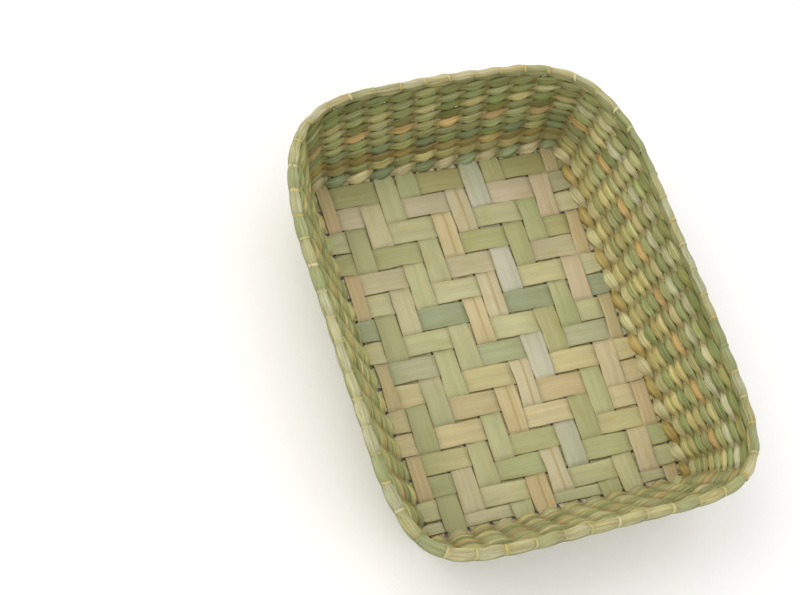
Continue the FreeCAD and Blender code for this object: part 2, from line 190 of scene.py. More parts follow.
def wall_frame(u, level):
    """Point, direction up the wall and direction outwards at a height on the wall."""
    def at(v):
        start, top = smooth(STARTS, v), smooth(TOPS, v)
        share = (level - start[:, 2:]) / (top[:, 2:] - start[:, 2:])
        return start + (top - start) * share
    rise = unit(smooth(TOPS, u) - smooth(STARTS, u))
    return at(u), rise, unit(np.cross(heading(at, u), rise))


def foot_frame(u):
    """The same where the foot course is twined round the bend."""
    along = heading(lambda v: smooth(FEET, v), u)
    rise = unit(np.cross(along, UP) + UP)
    return smooth(FEET, u), rise, unit(np.cross(along, rise))


# --- colours ------------------------------------------------------------------------------------------

LEAF_SHADE = np.array([0.93, 0.905, 0.90])      # of every leaf, for the studio's light
FLOOR_SHADE = np.array([0.955, 0.945, 0.985])   # of the floor besides
OWN_DYE, MEAN_DYE = 0.72, 0.28                  # a floor strip's colour is drawn towards the mean


def leaf(r, g, b):
    """A display colour from 0 to 255 as linear light, by the sRGB curve."""
    c = np.array([r, g, b]) / 255
    return np.where(c <= 0.04045, c / 12.92, ((c + 0.055) / 1.055) ** 2.4) * LEAF_SHADE


DYES = {
    "S": leaf(196, 188, 132),   # straw
    "C": leaf(210, 202, 160),   # cream
    "G": leaf(160, 168, 120),   # grey-green
    "A": leaf(146, 160, 108),   # sage
    "N": leaf(134, 152, 92),    # green
    "O": leaf(118, 124, 60),    # olive
    "T": leaf(116, 142, 112),   # teal
    "H": leaf(166, 142, 76),    # ochre
    "P": leaf(206, 168, 112),   # peach
    "W": leaf(196, 198, 172),   # grey-white
    "B": leaf(132, 120, 70),    # brown-olive
    "Y": leaf(198, 182, 114),   # yellow
}
BROWN_EDGE = leaf(158, 132, 76)
FLOOR_MEAN = leaf(186, 178, 134)
WALL_MEAN = leaf(165, 161, 116)


def floor_dyes(*colours):
    return [(leaf(*c) * OWN_DYE + FLOOR_MEAN * MEAN_DYE) * FLOOR_SHADE for c in colours]


# Long strips from -Y to +Y, and cross strips from -X to +X.
LONG_DYES = floor_dyes(
    (208, 180, 134), (166, 172, 118), (202, 196, 154), (188, 192, 140), (190, 192, 142), (204, 182, 130),
    (208, 200, 162), (198, 202, 182), (176, 178, 120), (164, 176, 118), (208, 192, 158), (202, 180, 134))
CROSS_DYES = floor_dyes(
    (162, 162, 98), (206, 194, 164), (198, 196, 150), (170, 172, 110), (188, 182, 144), (196, 198, 150),
    (144, 162, 126), (192, 194, 144), (180, 186, 148), (208, 198, 142), (200, 182, 134), (208, 194, 142),
    (200, 194, 136), (170, 180, 122), (184, 188, 134), (204, 200, 160))

# Each of these goes by wall: +X, +Y, -X and -Y. The dyes of the two strands are given for each course, from
# the lowest up.
COURSE_DYES = [
    ("SG", "SC", "GS", "GA"),
    ("GC", "SA", "HB", "AS"),
    ("AS", "AS", "NT", "SA"),
    ("SG", "GS", "GA", "TS"),
    ("PG", "PG", "PG", "PA"),
    ("GA", "AS", "OG", "SO"),
    ("GC", "WA", "NS", "AG"),
    ("SG", "AW", "GN", "GS"),
    ("SA", "ON", "ON", "AG"),
]
FOOT_DYES = ("CS", "CH", "CT", "SG")
RIM_DYES = (leaf(190, 187, 140), leaf(172, 176, 132), leaf(200, 192, 150), leaf(184, 188, 142))
WALL_PAINTED_LIGHT = (1.03, 1.20, 1.05, 1.22)       # painted light: brightness of the twined stitches on each wall, raised most on the +Y and -Y walls
RIM_THICKNESS = (1.0, 0.84, 0.80, 0.92)     # of the bundle, as a share of its full thickness
RIM_BULGE = (0.65, 0.40, 0.35, 0.80)        # of the bundle between two lashings


def by_stake(walls):
    """Values of the four walls, repeated for each stake of the wall."""
    return np.repeat(walls, 2 * [LONG_STRIPS, CROSS_STRIPS], axis=0)


# --- meshes -------------------------------------------------------------------------------------------


def leaf_grain(along, across, through):
    """Where the points lie in their leaf, in millimetres, for the noise of its material."""
    return np.stack(np.broadcast_arrays(along, across, through), -1)


def grid_faces(rows, around, closed):
    """Quads of a tube of rows rings, each of around points."""
    i = np.arange(rows if closed else rows - 1)[:, None] * around
    following = (i + around) % (rows * around)
    j = np.arange(around)[None, :]
    k = (j + 1) % around
    return np.stack([i + j, i + k, following + k, following + j], -1).reshape(-1, 4)


class Leaves:
    """Gathers leaf tubes and makes one piece of them."""

    def __init__(self):
        self.points, self.colours, self.grain, self.quads, self.triangles = [], [], [], [], []
        self.count = 0

    def add(self, points, colours, grain, closed):
        """Adds a tube of (rows, around, 3) points, which is closed in a ring or has two ends."""
        rows, around = points.shape[:2]
        colours = np.broadcast_to(colours, points.shape)
        quads = grid_faces(rows, around, closed)
        a, b, c, d = (points.reshape(-1, 3)[quads[:, n]] - points.mean((0, 1)) for n in range(4))
        if np.sum(np.cross(c - a, d - b) * (a + b + c + d)) < 0:    # the faces look inwards
            points, colours, grain = points[:, ::-1], colours[:, ::-1], grain[:, ::-1]
        self.quads.append(quads + self.count)
        stacks = [values.reshape(-1, 3) for values in (points, colours, grain)]
        if not closed:
            stacks = [np.concatenate([stack, values[0].mean(0)[None], values[-1].mean(0)[None]])
                      for stack, values in zip(stacks, (points, colours, grain))]
            j = np.arange(around)
            k = (j + 1) % around
            last = (rows - 1) * around
            caps = [np.stack([k, j, np.full(around, rows * around)], 1),
                    np.stack([last + j, last + k, np.full(around, rows * around + 1)], 1)]
            self.triangles.append(np.concatenate(caps) + self.count)
        for store, stack in zip((self.points, self.colours, self.grain), stacks):
            store.append(stack)
        self.count += len(stacks[0])

    def piece(self, node, slot, material):
        """The leaves as a piece which replaces a CAD node, and carries their colour and grain."""
        points = np.concatenate(self.points) * MM
        faces = [face for group in self.quads + self.triangles for face in group.tolist()]
        mesh = bpy.data.meshes.new("leaf_" + node)
        mesh.from_pydata(points.tolist(), [], faces)
        colour = mesh.attributes.new("leaf", "FLOAT_COLOR", "POINT")
        rgba = np.concatenate([np.clip(np.concatenate(self.colours), 0, 1), np.ones((len(points), 1))], 1)
        colour.data.foreach_set("color", rgba.astype(np.float32).ravel())
        grain = mesh.attributes.new("grain", "FLOAT_VECTOR", "POINT")
        grain.data.foreach_set("vector", np.concatenate(self.grain).astype(np.float32).ravel())
        mesh.polygons.foreach_set("use_smooth", [True] * len(mesh.polygons))
        mesh.materials.append(material)
        piece = bpy.data.objects.new("leaf_" + node, mesh)
        bpy.context.scene.collection.objects.link(piece)
        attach(piece, "root")
        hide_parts(node)


# --- materials ----------------------------------------------------------------------------------------

# Scale of a noise per millimetre along, across and through the leaf, and its detail.
BAND_NOISE = (0.035, 1.1, 0.5), 3
FIBRE_ALONG, FIBRE_THROUGH, FIBRE_DETAIL = 0.06, 1.2, 4     # each material has its own across
STAIN_NOISE = (0.05, 0.16, 0.16), 3
FLECK_NOISE = (0.35, 1.6, 1.6), 2

# From which to which value a noise goes from none to full, how strong it is then, and the colour it gives.
BAND_RANGE = 0.3, 0.7
FIBRE_RANGE = 0.35, 0.6
STAIN_RANGE, STAIN_SHADE = (0.52, 0.72), 0.6
FLECK_RANGE, FLECK_SHADE = (0.68, 0.76), 0.55
FIBRE_TINT = (0.68, 0.64, 0.50, 1)
STAIN_TINT = (0.93, 0.86, 0.66, 1)
FLECK_TINT = (0.72, 0.60, 0.42, 1)
SPECULAR = 0.35
BAND_GLOSS, BAND_MATT = 0.06, 0.08      # how far the bands change the roughness down and up
FIBRE_BUMP = 0.6


def leaf_material(name, roughness, streaks, fibre_depth, fibre_shade=0.9, fibre_rate=1.2):
    """Dried leaf: its own colour with streaks along it, stains, flecks and fine fibres. fibre_depth is in
    metres, and fibre_rate is per millimetre across the leaf."""
    material = bpy.data.materials.new(name)
    material.use_nodes = True
    nodes, links = material.node_tree.nodes, material.node_tree.links
    shader = nodes["Principled BSDF"]
    shader.inputs["Specular IOR Level"].default_value = SPECULAR

    def attribute(name):
        node = nodes.new("ShaderNodeAttribute")
        node.attribute_name = name
        return node

    colour, grain = attribute("leaf"), attribute("grain")

    def noise(scale, detail):
        mapping = nodes.new("ShaderNodeMapping")
        mapping.inputs["Scale"].default_value = scale
        links.new(grain.outputs["Vector"], mapping.inputs["Vector"])
        texture = nodes.new("ShaderNodeTexNoise")
        texture.inputs["Scale"].default_value = 1.0
        texture.inputs["Detail"].default_value = detail
        links.new(mapping.outputs["Vector"], texture.inputs["Vector"])
        return texture.outputs["Fac"]

    def spread(value, given, to_low, to_high):
        node = nodes.new("ShaderNodeMapRange")
        numbers = {"From Min": given[0], "From Max": given[1], "To Min": to_low, "To Max": to_high}
        for socket, number in numbers.items():
            node.inputs[socket].default_value = number
        links.new(value, node.inputs["Value"])
        return node.outputs["Result"]

    def mix(blend, factor, a, b):
        node = nodes.new("ShaderNodeMix")
        node.data_type = "RGBA"
        node.blend_type = blend
        for socket, value in ((0, factor), (6, a), (7, b)):     # the sockets of a colour mix
            if isinstance(value, (int, float, tuple)):
                node.inputs[socket].default_value = value
            else:
                links.new(value, node.inputs[socket])
        return node.outputs[2]

    bands = noise(*BAND_NOISE)
    fibres = noise((FIBRE_ALONG, fibre_rate, FIBRE_THROUGH), FIBRE_DETAIL)
    stains = noise(*STAIN_NOISE)
    flecks = noise(*FLECK_NOISE)

    dark = (1 - 1.3 * streaks, 1 - 1.25 * streaks, 1 - 1.6 * streaks, 1)
    light = (1 + streaks, 1 + streaks, 1 + 0.9 * streaks, 1)
    streaked = mix("MIX", spread(bands, BAND_RANGE, 0.0, 1.0), dark, light)
    shade = mix("MULTIPLY", 1.0, colour.outputs["Color"], streaked)
    shade = mix("MULTIPLY", spread(fibres, FIBRE_RANGE, fibre_shade, 0.0), shade, FIBRE_TINT)
    shade = mix("MULTIPLY", spread(stains, STAIN_RANGE, 0.0, STAIN_SHADE), shade, STAIN_TINT)
    shade = mix("MULTIPLY", spread(flecks, FLECK_RANGE, 0.0, FLECK_SHADE), shade, FLECK_TINT)
    links.new(shade, shader.inputs["Base Color"])
    gloss = spread(bands, BAND_RANGE, roughness - BAND_GLOSS, roughness + BAND_MATT)
    links.new(gloss, shader.inputs["Roughness"])

    bump = nodes.new("ShaderNodeBump")
    bump.inputs["Strength"].default_value = FIBRE_BUMP
    bump.inputs["Distance"].default_value = fibre_depth
    links.new(fibres, bump.inputs["Height"])
    links.new(bump.outputs["Normal"], shader.inputs["Normal"])
    return material


FLOOR_LEAF = leaf_material("floor_leaf", 0.50, 0.045, 0.00010, fibre_shade=0.2, fibre_rate=3.0)
WALL_PALE = leaf_material("wall_leaf_pale", 0.52, 0.16, 0.00040)
WALL_GREEN = leaf_material("wall_leaf_green", 0.48, 0.16, 0.00040)
FOOT_LEAF = leaf_material("foot_leaf", 0.52, 0.15, 0.00040)
RIM_LEAF = leaf_material("rim_leaf", 0.50, 0.10, 0.00022)
LASHING_LEAF = leaf_material("lashing_leaf", 0.50, 0.10, 0.00018)


# --- floor strips -------------------------------------------------------------------------------------

STRIP_GAP = 0.5             # between neighbours
STRIP_LIFT = 0.55           # of a strip which passes over
STRIP_ARCH = 0.45           # of its middle besides, where it passes over or under two
SHORT_ARCH = 0.6 * STRIP_ARCH
TURN_WIDTH = 5.6            # over which it changes from over to under
EDGE_DROOP = 0.55           # of its edges towards the strips that it crosses
ROW_STEP = 1.25             # between rows of points on the floor
COLUMNS = 26                # of points across its upper face
STAKE_TIP = 0.965           # share of the way to the top of the wall at which a stake ends

# A place on a strip is 1 on the floor, 2 at the foot course, 3 where the wall starts and 7 at its tip.
RUN_ROWS = ((1, 9), (2, 7), (3, 7), (4, 6), (5, 6), (6, 6))     # from each place to the next
WIDTH_PLACES = [1, 1.35, 2, 3, 3.6, 7]
FLOOR_WIDTHS = [0.94, 0.82, 0.86, 0.74]     # at the first four, as shares of the space between neighbours
STAKE_WIDTHS = [4.6, 4.8]                   # at the last two, half widths in millimetres
THICKNESSES = [1, 2, 3, 7], [0.55, 0.8, 1.1, 0.9]               # places, and the thickness at each
PLEATS = [1, 1.3, 2, 3, 4], [0.12, 0.35, 0.85, 0.9, 0.2]        # the same for the height of the pleats
PLEATS_ACROSS = 2.3

# How far from the floor's edge a strip gets its full width, loses its pleats and lies as the weave has it.
FULL_WIDTH_AT, NO_PLEATS_AT, WOVEN_AT = 7, 9, 14
LAST_WIDTH_SHARE = 0.06                     # which it lacks at the floor's edge
WIDTH_WANDER = ((26, 0.26), (9, 0.14))      # over how far, and by how much
SIDE_WANDER = 45, 0.28
NECK, NECK_REACH = 0.18, 3                  # narrowing where it dives under another, on each side
# How far a strip shifts aside for each LEAN_STEP that it stays over or under, and the last two long strips.
LEAN_STEP = 15.0
LEAN, STRONG_LEAN = 0.22, 1.0
CREASES, CREASE_DEPTH = 3, (0.03, 0.16)     # along it
CREASE_WIDTH, CREASE_PLACE = 0.09, 0.75     # as shares of its half width, the place at most
CREASE_WANDER, CREASE_STEP, CREASE_DEPTH_STEP = 0.10, 60, 30
SWELL, SWELL_STEP, SWELLS_ACROSS = (0.04, 0.10), 22, (0.8, 1.6)     # of its faces up and down
EDGE_POWER, DROOP_POWER = 5, 2.6            # how near its edges it rounds off and droops

SECOND_DYES = "SCGA"                        # one of these comes and goes along a strip
DRIFT, DRIFT_WANDER, DRIFT_STEP, MOST_DRIFT = 0.16, 0.20, 40, 0.45
BANDS, BAND_LIGHT = 9, (0.93, 1.06)         # across it
MOTTLE, MOTTLE_STEP = 0.03, 18              # along it
CROWN_PAINTED_HIGHLIGHT, DIP_PAINTED_SHADE = 0.05, 0.28         # painted highlight where it arches up, painted shade where it dips
BROWN_FROM, BROWN_OVER, BROWN_SHADE = 0.80, 0.2, (0.15, 0.5)
STAKE_DYES, STAKE_SHADE = "GTAS", 0.7       # the stakes are greener than the floor
STRIPED, STRIPE_DYE = (5, 6), "H"           # long strips with a stripe, counted from 0
STRIPE_PLACE, STRIPE_WIDTH, STRIPE_SHADE = 0.12, 0.10, 0.65


def long_on_top(i, j):
    """Two over, two under, with the outermost long strips opposite to their neighbours."""
    inner = min(max(i, 1), LONG_STRIPS - 2)
    phase = 3 - inner + (2 if inner != i else 0)
    return (j - phase) % 4 < 2


def strip_levels(family, index):
    """Whether a strip passes over (1) or under (-1) each strip that it crosses."""
    if family == "long":
        return [1.0 if long_on_top(index, n) else -1.0 for n in range(CROSS_STRIPS)]
    return [-1.0 if long_on_top(n, index) else 1.0 for n in range(LONG_STRIPS)]


def weave_height(c, lines, levels):
    """Height of a strip's middle along its length, and how far it is over (1) or under (-1)."""
    over = np.full_like(c, levels[0])
    for n in range(1, len(levels)):
        t = np.clip((c - lines[n]) / TURN_WIDTH + 0.5, 0, 1)
        over += (levels[n] - levels[n - 1]) * (t * t * (3 - 2 * t))
    arch = np.zeros_like(c)
    n = 0
    while n < len(levels):
        m = n
        while m + 1 < len(levels) and levels[m + 1] == levels[n]:
            m += 1
        t = np.clip((c - lines[n]) / (lines[m + 1] - lines[n]), 0, 1)
        arch += levels[n] * np.sin(math.pi * t) ** 0.8 * (STRIP_ARCH if m > n else SHORT_ARCH)
        n = m + 1
    return STRIP_LIFT * over + arch, over


def run_up(floor_line, k):
    """From the end of a floor line round the bend and up the wall as stake k: its points and their places."""
    start = STARTS[k]
    tip = start + (TOPS[k] - start) * STAKE_TIP
    climb = tip - start
    knots = np.array([floor_line[-8], floor_line[-1], FEET[k], start, start + climb * 0.1,
                      start + climb * 0.4, start + climb * 0.7, tip, tip + climb * 0.3])
    rows = [np.linspace(place, place + 1, count, endpoint=False) for place, count in RUN_ROWS]
    rows[0] = rows[0][1:]       # the floor's last row is there already
    place = np.concatenate(rows + [[7.0]])
    return smooth(knots, place), place


def make_strip(family, index):
    """A floor strip, whose two ends turn up round the foot course and are stakes of the walls."""
    rng = np.random.default_rng(SEEDS[family] + index)
    if family == "long":
        own, crossed, forward, aside, dye = LONG_LINES, CROSS_LINES, X_AXIS, Y_AXIS, LONG_DYES[index]
        plus, minus = index, 2 * LONG_STRIPS + CROSS_STRIPS - 1 - index
    else:
        own, crossed, forward, aside, dye = CROSS_LINES, LONG_LINES, Y_AXIS, X_AXIS, CROSS_DYES[index]
        plus, minus = LONG_STRIPS + CROSS_STRIPS - 1 - index, 2 * LONG_STRIPS + CROSS_STRIPS + index
    low, high = crossed[0], crossed[-1]
    half_space = (own[index + 1] - own[index] - STRIP_GAP) / 2

    # Middle line: the floor, then at each end the bend round the foot course and the stake up the wall.
    c = np.linspace(low, high, int((high - low) / ROW_STEP))
    lift, over = weave_height(c, crossed, strip_levels(family, index))
    floor_line = aside * own[index:index + 2].mean() + c[:, None] * forward
    floor_line = floor_line + UP * FLOOR_LEVEL + lift[:, None] * UP + FLOOR_SHIFT
    up_plus, place_plus = run_up(floor_line, plus)
    up_minus, place_minus = run_up(floor_line[::-1], minus)
    line = np.concatenate([up_minus[::-1], floor_line, up_plus])
    place = np.concatenate([place_minus[::-1], np.ones(len(c)), place_plus])
    s = travelled(line)

    def whole(values, at_minus=0.0, at_plus=0.0):
        """Values of the floor's rows, and one value for all the rows up each wall."""
        return np.concatenate([np.full(len(up_minus), at_minus), values, np.full(len(up_plus), at_plus)])

    # How wide, thick and pleated it is along its length, and how far it wanders aside.
    over_all = whole(over, over[0], over[-1])
    inward = whole(np.minimum(c - low, high - c))
    woven = np.clip(inward / WOVEN_AT, 0, 1)
    half_widths = [half_space * share for share in FLOOR_WIDTHS] + STAKE_WIDTHS
    half_width = np.interp(place, WIDTH_PLACES, half_widths)
    half_width += np.clip(inward / FULL_WIDTH_AT, 0, 1) * half_space * LAST_WIDTH_SHARE
    to_line = np.abs(c[:, None] - crossed[None, :]).min(1)
    neck = whole(np.exp(-(to_line / NECK_REACH) ** 2) * np.abs(over))
    width_wander = sum(wander(rng, s, step) * size for step, size in WIDTH_WANDER)
    half_width = half_width + woven * (width_wander - neck * NECK)
    lean = np.cumsum(over - over.mean()) * (c[1] - c[0]) / LEAN_STEP
    lean = (lean - lean.mean()) * (STRONG_LEAN if family == "long" and index >= LONG_STRIPS - 2 else LEAN)
    sideways = woven * (wander(rng, s, SIDE_WANDER[0]) * SIDE_WANDER[1] + whole(-lean))
    thickness = np.interp(place, *THICKNESSES)
    pleats = np.interp(place, *PLEATS) * np.clip(1 - inward / NO_PLEATS_AT, 0, 1)

    # Direction across it, which turns from the floor's to the ring's at the foot, and its normal.
    def ring_heading(k):
        return heading(lambda v: smooth(STARTS, v), np.array([k]), 0.2)[0]

    tangent = unit(np.gradient(line, axis=0))
    turned = np.clip(place - 1, 0, 1)[:, None]
    at_minus = np.arange(len(line))[:, None] < len(up_minus)
    ring = np.where(at_minus, -ring_heading(minus), ring_heading(plus))
    side = np.cross(UP, forward) * (1 - turned) + ring * turned
    side = unit(side - tangent * np.sum(side * tangent, 1, keepdims=True))
    normal = np.cross(tangent, side)

    # Section: the upper face from edge to edge, with more points near the edges, then the lower face.
    x_top = np.linspace(-1, 1, COLUMNS)
    x_top = np.sin(x_top * (math.pi / 2)) * 0.35 + x_top * 0.65
    x = np.concatenate([x_top, x_top[-2:0:-1]])
    face = np.concatenate([np.ones(COLUMNS), -np.ones(COLUMNS - 2)])
    edge_round = np.sqrt(np.clip(1 - np.abs(x) ** EDGE_POWER, 0, 1))
    X, S = np.meshgrid(x, s)
    height = -EDGE_DROOP * over_all[:, None] * np.abs(X) ** DROOP_POWER * (0.35 + 0.65 * woven[:, None])
    height += pleats[:, None] * np.cos(2 * math.pi * PLEATS_ACROSS * X + any_phase(rng))
    for _ in range(CREASES):
        middle = rng.uniform(-CREASE_PLACE, CREASE_PLACE)
        middle = middle + CREASE_WANDER * wander(rng, s, CREASE_STEP)[:, None]
        depth = -rng.uniform(*CREASE_DEPTH) * (0.6 + 0.4 * wander(rng, s, CREASE_DEPTH_STEP))[:, None]
        height += depth * np.exp(-((X - middle) / CREASE_WIDTH) ** 2)
    swell = rng.uniform(*SWELL) * wander(rng, s, SWELL_STEP)[:, None]
    height += swell * np.cos(math.pi * X * rng.uniform(*SWELLS_ACROSS) + any_phase(rng)) * woven[:, None]
    height += face * edge_round * thickness[:, None] / 2
    wide = X * half_width[:, None] + sideways[:, None]
    points = line[:, None] + side[:, None] * wide[..., None] + normal[:, None] * height[..., None]

    # Colour: its own with a second along it and darker in faint bands across it, a painted highlight where it
    # arches up and painted shade where it dips, then its brown edges, the stripe that some have, and the
    # stakes.
    second = DYES[rng.choice(list(SECOND_DYES))]
    drift = np.clip(DRIFT + DRIFT_WANDER * wander(rng, s, DRIFT_STEP), 0, MOST_DRIFT)[:, None, None]
    colours = dye * (1 - drift) + second * drift
    band = np.interp(x, np.linspace(-1, 1, BANDS), rng.uniform(*BAND_LIGHT, BANDS))
    # Painted highlight where the strip arches up, painted shade where it dips under another.
    crown = whole(np.clip((lift / STRIP_LIFT - 1) / 0.8, -0.6, 1))
    shade = 1 + MOTTLE * wander(rng, s, MOTTLE_STEP)
    shade = shade + CROWN_PAINTED_HIGHLIGHT * np.maximum(crown, 0) + DIP_PAINTED_SHADE * np.minimum(crown, 0)
    colours = colours * band[None, :, None] * shade[:, None, None]
    edge = np.clip((np.abs(X) - BROWN_FROM) / BROWN_OVER, 0, 1)[..., None] ** 2 * rng.uniform(*BROWN_SHADE)
    colours = colours * (1 - edge) + BROWN_EDGE * edge
    if family == "long" and index in STRIPED:
        stripe = np.exp(-((X - STRIPE_PLACE) / STRIPE_WIDTH) ** 2)[..., None] * STRIPE_SHADE
        colours = colours * (1 - stripe) + DYES[STRIPE_DYE] * stripe
    stake = np.clip(place - 1.0, 0, 0.7)[:, None, None] * STAKE_SHADE
    colours = colours * (1 - stake) + DYES[rng.choice(list(STAKE_DYES))] * stake

    leaves = Leaves()
    grain = leaf_grain(S + any_place(rng), wide + any_place(rng), face * 0.3)
    leaves.add(points, colours, grain, closed=False)
    leaves.piece(f"{family}_strip_{index + 1:02d}", "floor_leaf", FLOOR_LEAF)


# --- twined strands -----------------------------------------------------------------------------------

# beside and between are a strand's half thickness and half depth where it passes a stake and where the pair
# cross. It passes offset away from the stakes' middle, and rises or falls by lift where the pair cross.
# own_share is how much of its dye it keeps, steps its rows for each stake, and around its points round.
WALL_TWINE = dict(beside=(1.4, 3.65), between=(1.7, 2.45), offset=1.85, lift=1.05, own_share=0.84,
                  steps=14, around=30)
LOWEST_TWINE = dict(WALL_TWINE, beside=(1.4, 4.1), between=(1.7, 3.2))
FOOT_TWINE = dict(beside=(1.65, 4.0), between=(2.2, 3.1), offset=2.7, lift=1.3, own_share=0.88,
                  steps=16, around=32)

# How much each of these varies from stake to stake: the level in millimetres, the others as shares.
JITTER = {"thickness": 0.10, "depth": 0.06, "offset": 0.10, "lift": 0.12, "level": 0.15, "tilt": 0.12,
          "furrow": 0.12, "furrow_depth": 0.7}
THICKNESS_POWER, DEPTH_POWER, OFFSET_POWER, LIFT_POWER = 2, 2.2, 1.25, 1.1  # how each changes along a stitch
FURROWS = (-0.62, -0.2, 0.2, 0.6)           # along a strand, their places over its depth
FURROW_WIDTH, FURROW_DEPTH = 0.13, (0.05, 0.26)
TILT = 0.05
# Powers of the cosine and sine of its section, and what the second gains where the pair cross.
WIDE_POWER, THICK_POWER, CROSSING_POWER = 0.9, 0.85, 0.3
RIBS = ((3, 0.05), (5, 0.04))               # lighter and darker lines along a strand: how many, how strong
SPLICE_DYES = "SGASCAG"                     # of the leaves spliced in
SPLICE_RUN, SPLICE_SHARE = (4, 11), 0.45    # how many stitches each lasts, and how much it shows at most
STITCH_LIGHT = 0.80, 1.24
CROSSING_SHADE_FROM, CROSSING_PAINTED_SHADE = 0.75, 0.44    # painted shade where the pair cross and press together
CROSSING_SHADE_DYE = BROWN_EDGE * 0.6
STITCH_EDGE_PAINTED_SHADE = np.array([0.42, 0.44, 0.56])   # painted shade on the upper and lower edges of a stitch


def stitch_dyes(rng, pairs, strand, own_share):
    """Colour of each stitch: its wall's dye, with other leaves spliced in every few stitches, a random
    brightness and each wall's painted light.
    """
    table = by_stake([DYES[pair[strand]] for pair in pairs])
    k = 0
    while k < STAKES:
        run = int(rng.integers(*SPLICE_RUN))
        spliced = DYES[rng.choice(list(SPLICE_DYES))]
        share = rng.uniform(0.0, SPLICE_SHARE)
        table[k:k + run] = table[k:k + run] * (1 - share) + spliced * share
        k += run
    table = table * own_share + WALL_MEAN * (1 - own_share)
    # Each stitch lighter or darker at random, then each wall's painted light.
    return table * rng.uniform(*STITCH_LIGHT, (STAKES, 1)) * by_stake(WALL_PAINTED_LIGHT)[:, None]


def twine(rng, frame_at, strand, pairs, beside, between, offset, lift, own_share, steps, around):
    """Points, colours and grain of one strand of a twined pair round the basket."""
    u = np.arange(STAKES * steps) / steps + 0.5
    point, rise, out = frame_at(u)
    phase = math.pi * (u - strand)
    cos, sin = np.cos(phase), np.sin(phase)
    turn = np.abs(sin)      # 0 at a stake, 1 where the pair cross

    def jitter(what):
        return stake_noise(rng, JITTER[what], u)

    half_thickness = beside[0] + (between[0] - beside[0]) * turn ** THICKNESS_POWER
    half_thickness = half_thickness * (1 + jitter("thickness"))
    half_depth = beside[1] + (between[1] - beside[1]) * turn ** DEPTH_POWER
    half_depth = half_depth * (1 + jitter("depth"))
    outwards = signed_power(cos, OFFSET_POWER) * offset * (1 + jitter("offset"))
    upwards = lift * signed_power(sin, LIFT_POWER) * (1 + jitter("lift")) + jitter("level")
    centre = point + out * outwards[:, None]
    centre = centre + rise * upwards[:, None]

    # Section: flattened, with furrows along the strand, and leaning a little.
    theta = circle(around)
    y = signed_power(np.sin(theta)[None, :], THICK_POWER + CROSSING_POWER * turn[:, None] ** 2)
    X = np.broadcast_to(signed_power(np.cos(theta), WIDE_POWER), (len(u), around))
    bulk = np.ones_like(X)
    for place in FURROWS:
        place = (place + rng.uniform(-JITTER["furrow"], JITTER["furrow"]) + jitter("furrow"))[:, None]
        depth = (rng.uniform(*FURROW_DEPTH) * (1 + jitter("furrow_depth")))[:, None]
        bulk = bulk - depth * np.exp(-((X - place) / FURROW_WIDTH) ** 2)
    wide, thick = X * half_depth[:, None], y * bulk * half_thickness[:, None]
    tilt = (TILT + jitter("tilt"))[:, None]
    wide, thick = wide - thick * tilt, thick + wide * tilt * 0.5
    points = centre[:, None] + rise[:, None] * wide[..., None] + out[:, None] * thick[..., None]
    points[..., 2] = np.maximum(points[..., 2], 0.0)    # the foot rests on the table

    table = stitch_dyes(rng, pairs, strand, own_share)
    colours = table[np.floor(u + 0.5).astype(int) % STAKES]
    # Painted shade where the pair cross and press together.
    crossing_shade = (np.clip(turn - CROSSING_SHADE_FROM, 0, 1) / (1 - CROSSING_SHADE_FROM))[:, None] * CROSSING_PAINTED_SHADE
    colours = colours * (1 - crossing_shade) + CROSSING_SHADE_DYE * crossing_shade
    ribs = 1
    for count, strength in RIBS:
        ribs = ribs + strength * np.cos(count * theta + any_phase(rng))
    colours = colours[:, None] * ribs[None, :, None]
    # Painted shade on the upper and lower edges of each stitch.
    colours = colours * (1 - np.abs(np.cos(theta))[:, None] ** 4 * STITCH_EDGE_PAINTED_SHADE)

    s = travelled(point)[:, None]
    grain = leaf_grain(s + any_place(rng), X * beside[1] + any_place(rng), y * beside[0] * 0.6)
    return points, colours, grain


def make_course(course, strand):
    rng = np.random.default_rng(SEEDS["course"] + 10 * course + strand)
    level = FIRST_COURSE + course * (LAST_COURSE - FIRST_COURSE) / (COURSES - 1)
    shape = LOWEST_TWINE if course == 0 else WALL_TWINE
    leaves = Leaves()
    leaves.add(*twine(rng, lambda u: wall_frame(u, level), strand, COURSE_DYES[course], **shape), closed=True)
    slot, material = (("wall_leaf_pale", WALL_PALE), ("wall_leaf_green", WALL_GREEN))[strand]
    leaves.piece(f"course_{course + 1:02d}_strand_{'ab'[strand]}", slot, material)


def make_foot(strand):
    rng = np.random.default_rng(SEEDS["foot"] + strand)
    leaves = Leaves()
    leaves.add(*twine(rng, foot_frame, strand, FOOT_DYES, **FOOT_TWINE), closed=True)
    leaves.piece(f"foot_strand_{'ab'[strand]}", "foot_leaf", FOOT_LEAF)


# --- rim ----------------------------------------------------------------------------------------------

RIM_STEPS, RIM_AROUND, SIDE_AROUND = 16, 32, 20     # rows for each stake, and points round a leaf
RIM_RADIUS = 2.25           # of the bundle at a lashing
RIM_OUTWARDS = 2.8          # of the middle of a thinner bundle, for the whole of its thickness
RIM_WAVE = 0.3              # of the bundle in and out, from lashing to lashing
RIM_TWIST = 0.35            # of its lobes, in radians from stake to stake
RIM_LOBES = 0.075, 0.05     # of four and of seven round it
RIM_GROOVE, GROOVE_ANGLE, GROOVE_WIDTH = 0.10, 2.2, 0.22
RIM_FLATNESS = 1.12         # wider than it is high
